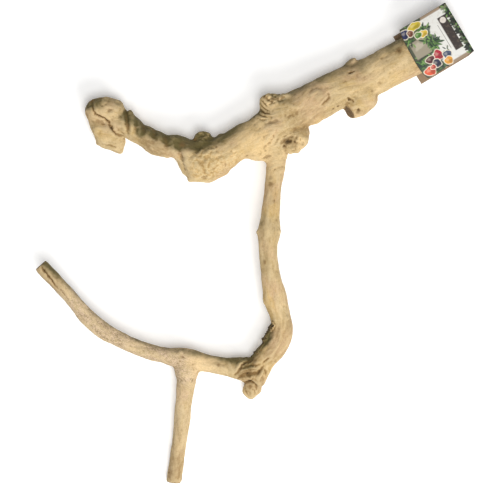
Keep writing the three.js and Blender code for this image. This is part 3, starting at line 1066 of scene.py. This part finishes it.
def print_front(u, v, settings):
    """The generic print of the upper panel: pale field, leaves, berries, a plain dark band and a painted
    shadow line along the mouth.
    """
    front = Print(u, v, settings.pale_print)
    draw = np.random.default_rng(12)
    front.lay(settings.kraft, np.clip((abs(v) - 29.5) / 1.2, 0, 1) * (u > 20))
    hedge = 57.6 + 1.6 * np.sin(v * 0.55) + 1.1 * np.sin(v * 1.7 + 1)
    front.lay(linear(30, 36, 28), np.clip((u - hedge) / 0.6, 0, 1))
    bank = 25 + 3.5 * np.sin(v * 0.21 + 1.2) + 1.6 * np.sin(v * 0.63)
    front.lay(linear(66, 72, 52), np.clip((bank - u) / 1.2, 0, 1))
    for _ in range(24):
        place = (draw.uniform(57, 66), draw.uniform(-33, 33))
        front.oval(linear(118, 128, 98), place, draw.uniform(0.8, 2.2, 2), 0.2, 0.6, 0.7)
    for low, high, count in ((57, 66, 46), (2, 26, 60)):
        for _ in range(count):
            root = (draw.uniform(low, high), draw.uniform(-33, 33))
            front.leaf(draw, root, draw.uniform(2.5, 5.5), 0.8)
    for x, y, long, wide in THICKETS:
        front.oval(linear(34, 50, 34), (x, y), (long, wide), 0.12, 1.0, 0.85)
    front.box(linear(150, 142, 122), (13.0, 2.0), (9.5, 10.5), 0.8)
    front.oval(linear(186, 178, 158), (12, 5), (5, 4), 0.2, 1.5, 0.7)
    for x, y, count, long in SPRAYS:
        for _ in range(count):
            root = np.array((x, y)) + draw.normal(size=2) * 2.0
            size = long * draw.uniform(0.5, 1.1)
            front.leaf(draw, root, size, size * 0.13)
    pale = np.array(linear(240, 230, 208))
    for x, y, long, wide, *rgb in BERRIES:
        size, paint = np.array((long, wide)), np.array(linear(*rgb))
        front.oval(pale, (x, y), size + 0.8, 0.07)
        front.oval(paint, (x, y), size, 0.07)
        front.oval(0.45 * paint, (x + 0.35 * long, y - 0.4 * wide), size * 0.5, 0.15, 1.6, 0.7)
        shine = 0.6 * paint + 0.4 * pale
        front.oval(shine, (x - 0.25 * long, y + 0.3 * wide), size * 0.35, 0.15, 1.4, 0.6)
    dark = linear(50, 40, 36)
    front.box(dark, (51.8, 0.0), (5.2, 22.0))
    front.oval(linear(214, 206, 196), (51.8, 17.0), (3.7, 3.7))
    front.box(dark, (43.2, -1.0), (0.3, 16.0), 0.3, 0.75)
    # Painted shadow: a dark line along the mouth, where the panel's edge lies over the limb.
    front.lay(linear(44, 44, 32), np.clip((0.8 - u) / 0.4, 0, 1))
    return front.colour


def print_back(u, v, settings):
    """The lower panel and the spine: plain pale field with a brown border."""
    back = Print(u, v, settings.pale_print)
    edge = np.maximum(abs(v) - 28.5, np.abs(u - 32) - 28.5)
    back.lay(settings.kraft, np.clip(edge / 0.8 + 0.5, 0, 1))
    return back.colour


def folded_card(settings):
    """One thin sheet folded twice, bowed over the limb, printed outside and brown inside."""
    card = Card()
    sheet_half, rows_step = 0.22 * MM, 0.56 * MM
    line = card.profile(thick=0.4 * MM, fold=2.4 * MM, step=rows_step)
    side = np.linspace(-card.half, card.half, int(2 * card.half / rows_step))
    rows, columns = len(line), len(side)
    travel = np.repeat(line[:, 0], columns)
    height = np.repeat(line[:, 1], columns)
    across = np.tile(side, rows)
    middle = (card.low + card.high) / 2
    upper = smooth_step(0.2, 0.9, (height - middle) / (card.high - middle))
    lower = smooth_step(0.2, 0.9, (middle - height) / (middle - card.low))
    out = np.clip((card.spine - travel) / (card.spine - card.mouth), 0, 1)
    reach = (across / card.half) ** 2
    ripple = Noise(61)(np.stack([travel / 0.03, across / 0.024, height / 0.05], axis=1))
    height = height + upper * (-1.5 * reach * (0.35 + 0.65 * out) + 0.35 * ripple * out) * MM
    height = height + lower * (1.3 * reach * out + 0.3 * ripple * out) * MM
    u, v = (travel - card.mouth) / MM, across / MM
    bulge = 1.8 - 3.4 * reach**2 - 0.5 * np.sin(across / card.half * 2.6)
    travel = travel - upper * out**5 * bulge * MM
    place = travel[:, None] * card.along + (across + card.middle)[:, None] * card.across
    place = place + height[:, None] * np.array([0, 0, 1])
    grid = place.reshape(rows, columns, 3)
    normal = np.cross(np.gradient(grid, axis=0), np.gradient(grid, axis=1)).reshape(-1, 3)
    normal /= np.linalg.norm(normal, axis=1)[:, None]
    outward = normal if normal[-1, 2] > 0 else -normal
    corners = np.concatenate([place + outward * sheet_half, place - outward * sheet_half])

    count = rows * columns
    index = np.arange(count).reshape(rows, columns)
    quads = np.stack([index[:-1, :-1], index[1:, :-1], index[1:, 1:], index[:-1, 1:]], axis=-1)
    quads = quads.reshape(-1, 4)
    loop = np.concatenate([index[0, :], index[1:, -1], index[-1, -2::-1], index[-2:0:-1, 0]])
    after = np.roll(loop, -1)
    rim = np.stack([loop, after, after + count, loop + count], axis=1)
    mesh = mesh_from("card", corners, np.concatenate([quads, quads[:, ::-1] + count, rim]))
    solid = bmesh.new()
    solid.from_mesh(mesh)
    bmesh.ops.recalc_face_normals(solid, faces=solid.faces)
    solid.to_mesh(mesh)
    solid.free()

    front, back = print_front(u, v, settings), print_back(u, v, settings)
    on_front = smooth_step(0.90, 0.96, (height - card.low) / (card.high - card.low))
    colour = back + (front - back) * on_front[:, None]
    both = np.concatenate([colour, np.tile(np.array(settings.kraft), (count, 1))])
    rgba = np.concatenate([both, np.ones((len(both), 1))], axis=1)
    # The upper panel's colours also carry a painted shadow line along the mouth.
    lay_on(mesh, "print", rgba, "FLOAT_COLOR", "color")
    lay_on(mesh, "inside", np.repeat([0.0, 1.0], count))
    mesh.polygons.foreach_set("use_smooth", [True] * len(mesh.polygons))
    return add_object("card", mesh)


def printed_card(settings):
    """Satin print outside, rough brown fibres inside."""
    card = Finish("printed card")
    fibre = card.noise(card.spot, (900, 2600, 900), 3, 0.6)
    mottle = card.noise(card.spot, (260, 260, 260), 2, 0.5)
    inside = card.attribute("inside")
    worn = card.coats(card.attribute("print", "Color"), (0.16, mottle, 0.5, 0.7, settings.kraft))
    brown = card.mix(0.5 * fibre, worn, linear(128, 104, 78))
    colour = card.mix(inside, worn, brown)
    rough = 0.42 + 0.4 * inside + 0.08 * mottle
    inputs = {"Base Color": colour, "Roughness": rough, "Specular IOR Level": 0.4}
    return card.close(inputs, fibre, 0.05 * MM, 0.4)


def studio_floor(settings):
    """Plain pale floor that glows faintly, so that the shadows stay light."""
    floor = Finish("pale floor")
    pale, glow = settings.floor_colour, 0.22
    haze = floor.noise(floor.spot, (3, 3, 3), 2, 0.5)
    colour = floor.mix(haze, pale, tuple(0.985 * c for c in pale))
    return floor.close({
        "Base Color": colour,
        "Roughness": 0.9,
        "Specular IOR Level": 0.1,
        "Emission Color": (1, 1, 1, 1),
        "Emission Strength": glow,
    })


def colour_setting(name, description, *rgb):
    """A colour that a user may change, given as 0 to 255 display values."""
    return FloatVectorProperty(name=name, description=description, subtype="COLOR", default=linear(*rgb))


class BRANCH_PG_wood(bpy.types.PropertyGroup):
    """What a user may change about the wood."""

    skin_step: FloatProperty(
        name="Skin step", description="Size of the skin's quads", default=1.08 * MM, min=0.7 * MM,
        unit="LENGTH", precision=5,
    )
    relief: FloatProperty(
        name="Relief", description="Strength of the waves, flutes and pits", default=1.0, min=0.0, max=2.0
    )
    pale_wood: colour_setting("Pale wood", "Lightest patches", 206, 184, 142)
    tan_wood: colour_setting("Tan wood", "Darker patches", 178, 152, 106)
    pink_wood: colour_setting("Pink wood", "Rosy patches", 200, 168, 132)
    ochre_wood: colour_setting("Ochre wood", "Yellow patches", 196, 164, 98)
    cream_wood: colour_setting("Cream wood", "Crusty lumps", 226, 202, 150)
    peach_wood: colour_setting("Peach wood", "Clean broad patches", 234, 204, 154)
    dull_wood: colour_setting("Dull wood", "Weathered broad patches", 148, 122, 82)
    scab_wood: colour_setting("Scab wood", "Crust between the lumps", 194, 156, 94)
    rosy_wood: colour_setting("Rosy arm", "Lighter mottling of the arm", 208, 184, 158)
    grey_wood: colour_setting("Grey arm", "Darker mottling of the arm", 138, 120, 92)
    # The dull greenish brown of weathering and painted shade on the side turned from the key light.
    olive_wood: colour_setting("Olive wood", "The weathered side", 92, 84, 46)
    # Brown and dark wood also paint the shade in the hollows, creases and pores.
    brown_wood: colour_setting("Brown wood", "Hollows and pores", 124, 96, 56)
    dark_wood: colour_setting("Dark wood", "Deepest cracks", 52, 38, 20)
    bark_brown: colour_setting("Bark brown", "Scraps of bark", 104, 88, 54)
    cut_wood: colour_setting("Cut wood", "Sawn faces", 110, 92, 72)


class BRANCH_PG_card(bpy.types.PropertyGroup):
    """What a user may change about the card."""

    pale_print: colour_setting("Pale print", "The print's plain field", 220, 219, 213)
    kraft: colour_setting("Kraft", "The card's bare side", 148, 128, 106)


class BRANCH_PG_stage(bpy.types.PropertyGroup):
    """What a user may change about the stage."""

    eye_height: FloatProperty(
        name="Eye height", description="Height of the camera", default=2.0, min=0.5, unit="LENGTH"
    )
    field: FloatProperty(
        name="Field", description="Width seen at the branch's pith", default=0.6, min=0.1, unit="LENGTH"
    )
    key_power: FloatProperty(
        name="Key light", description="Power of the side light", default=23.0, min=0.0, unit="POWER"
    )
    fill_power: FloatProperty(
        name="Fill light", description="Power of the overhead light", default=32.0, min=0.0, unit="POWER"
    )
    sky: FloatProperty(name="Sky", description="Strength of the even light", default=0.22, min=0.0)
    floor_colour: FloatVectorProperty(
        name="Floor", description="Colour of the floor", subtype="COLOR", default=(0.92, 0.92, 0.92)
    )


class BRANCH_OT_wood(bpy.types.Operator):
    """Carve the four limbs from the frame's solids and give them their finish"""

    bl_idname = "branch.wood"
    bl_label = "Carve Wood"

    def execute(self, context):
        settings = context.scene.branch_wood
        skin, distances = carved_wood(settings)
        owner = distances[skin.faces].mean(1).argmin(1)
        material = bare_wood(settings)
        for i, node in enumerate(LIMBS):
            piece = limb_piece(f"{node}_wood", skin, skin.faces[owner == i])
            piece.data.materials.append(material)
            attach(piece, "root")
            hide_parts(node)
        return {"FINISHED"}


class BRANCH_OT_card(bpy.types.Operator):
    """Fold the printed card over the butt"""

    bl_idname = "branch.card"
    bl_label = "Fold Card"

    def execute(self, context):
        settings = context.scene.branch_card
        piece = folded_card(settings)
        piece.data.materials.append(printed_card(settings))
        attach(piece, "root")
        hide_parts("card_tag")
        return {"FINISHED"}


class BRANCH_OT_stage(bpy.types.Operator):
    """Lay the pale floor, hang the soft lights and place the camera over the branch"""

    bl_idname = "branch.stage"
    bl_label = "Set Stage"

    def execute(self, context):
        scene, settings = context.scene, context.scene.branch_stage
        low, high = (Vector(corner) for corner in CAD_BOX)
        middle = (low + high) / 2
        floor_half = 6.0
        corners = floor_half * np.array([[-1, -1, 0], [1, -1, 0], [1, 1, 0], [-1, 1, 0]])
        floor = add_object("floor", mesh_from("floor", corners, np.array([[0, 1, 2, 3]])))
        floor.data.materials.append(studio_floor(settings))

        key = self.light("key", (0.60, -1.10, 1.35), 0.9, settings.key_power, middle)
        fill = self.light("fill", (0.15, -0.40, 2.3), 0.8, settings.fill_power, middle)
        key.data.color, fill.data.color = (1.0, 0.985, 0.96), (1.0, 1.0, 1.0)

        world = bpy.data.worlds.new("studio")
        world.use_nodes = True
        even_light = world.node_tree.nodes["Background"].inputs
        even_light["Color"].default_value = (1, 1, 1, 1)
        even_light["Strength"].default_value = settings.sky
        scene.world = world
        scene.view_settings.view_transform = "Standard"

        camera = bpy.data.objects.new("camera", bpy.data.cameras.new("camera"))
        scene.collection.objects.link(camera)
        pith_height, left, near = 30 * MM, 6.0 * MM, 5.6 * MM
        camera.data.sensor_width = 36
        camera.data.lens = 36 * (settings.eye_height - pith_height) / settings.field
        camera.location = (middle.x - left, middle.y - near, settings.eye_height)
        scene.camera = camera
        return {"FINISHED"}

    def light(self, name, place, size, power, target):
        """A square soft light that looks at the branch."""
        lamp = bpy.data.lights.new(name, "AREA")
        lamp.size, lamp.energy = size, power
        holder = bpy.data.objects.new(name, lamp)
        bpy.context.scene.collection.objects.link(holder)
        holder.location = place
        holder.rotation_euler = (target - Vector(place)).to_track_quat("-Z", "Y").to_euler()
        return holder


class BRANCH_PT_panel(bpy.types.Panel):
    """The branch's operators and settings in the sidebar"""

    bl_label = "Fallen Branch"
    bl_idname = "BRANCH_PT_panel"
    bl_space_type = "VIEW_3D"
    bl_region_type = "UI"
    bl_category = "Branch"

    def draw(self, context):
        for settings, group, operator in STEPS:
            column = self.layout.column(align=True)
            column.operator(operator.bl_idname)
            for name in group.__annotations__:
                column.prop(getattr(context.scene, settings), name)


# What each step's settings are called in the scene, the settings, and the operator.
STEPS = (
    ("branch_wood", BRANCH_PG_wood, BRANCH_OT_wood),
    ("branch_card", BRANCH_PG_card, BRANCH_OT_card),
    ("branch_stage", BRANCH_PG_stage, BRANCH_OT_stage),
)
CLASSES = (*(cls for step in STEPS for cls in step[1:]), BRANCH_PT_panel)


def register():
    for cls in CLASSES:
        bpy.utils.register_class(cls)
    for name, group, _ in STEPS:
        setattr(bpy.types.Scene, name, PointerProperty(type=group))


def unregister():
    for name, _, _ in STEPS:
        delattr(bpy.types.Scene, name)
    for cls in reversed(CLASSES):
        bpy.utils.unregister_class(cls)


def main():
    register()
    bpy.ops.branch.wood()
    bpy.ops.branch.card()
    bpy.ops.branch.stage()


if __name__ == "__main__":
    main()
